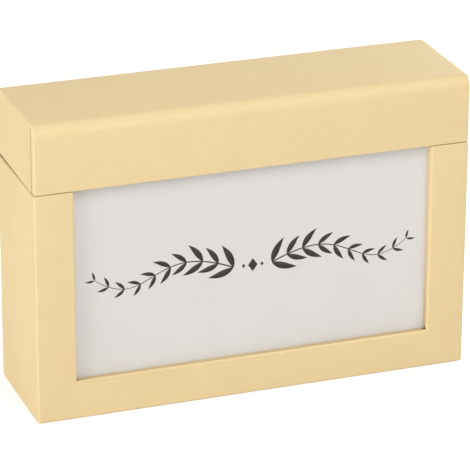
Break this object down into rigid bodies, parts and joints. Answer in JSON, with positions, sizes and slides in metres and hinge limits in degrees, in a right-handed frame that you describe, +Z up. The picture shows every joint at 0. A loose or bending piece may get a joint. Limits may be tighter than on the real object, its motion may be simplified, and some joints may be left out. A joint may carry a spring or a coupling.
{
  "type": "photo storage box",
  "caption": "Paper-covered storage box for standing photographs, with a hinged flip-top lid and a slide-in picture card behind a window frame in its front.",
  "frame": {"origin": "middle of the underside, on the surface that the box stands on", "axes": "+X along the length to the right as seen from the picture window, +Y from the window to the hinged back, +Z up"},
  "size_m": [0.168, 0.0468, 0.115],
  "materials": {
    "cover_paper": "satin embossed paper with a fine diagonal lattice",
    "greyboard": "raw matte recycled board",
    "picture_card": "smooth matte printed card",
    "lining_paper": "smooth matte uncoated paper",
    "stay_tape": "matte kraft paper tape"
  },
  "bodies": {
    "body": {"base_board": "greyboard", "back_wall_board": "greyboard", "left_wall_board": "greyboard", "right_wall_board": "greyboard", "front_wall_board": "greyboard", "window_frame_board": "greyboard", "left_slot_spacer": "greyboard", "right_slot_spacer": "greyboard", "bottom_slot_spacer": "greyboard", "left_neck_strip": "greyboard", "right_neck_strip": "greyboard", "picture_card": "picture_card", "body_stay_front_left": "stay_tape", "body_stay_front_right": "stay_tape", "body_stay_back_left": "stay_tape", "body_stay_back_right": "stay_tape", "body_cover_paper": "cover_paper", "back_cover_paper": "cover_paper", "bottom_sheet": "cover_paper", "front_wall_paper": "lining_paper", "left_neck_paper": "lining_paper", "right_neck_paper": "lining_paper", "floor_lining": "lining_paper", "back_lining": "lining_paper", "hinge_paper_lower": "lining_paper"},
    "lid": {"lid_bent_board": "greyboard", "lid_left_end_board": "greyboard", "lid_right_end_board": "greyboard", "lid_stay_front_left": "stay_tape", "lid_stay_front_right": "stay_tape", "lid_stay_back_left": "stay_tape", "lid_stay_back_right": "stay_tape", "lid_cover_paper": "cover_paper", "lid_lining": "lining_paper", "hinge_paper_upper": "lining_paper"}
  },
  "joints": [
    {"name": "lid_hinge", "type": "hinge", "parent": "body", "child": "lid", "pos_m": [0, 0.0234, 0.08925], "axis": [-1, 0, 0], "range_deg": [0, 175]}
  ]
}
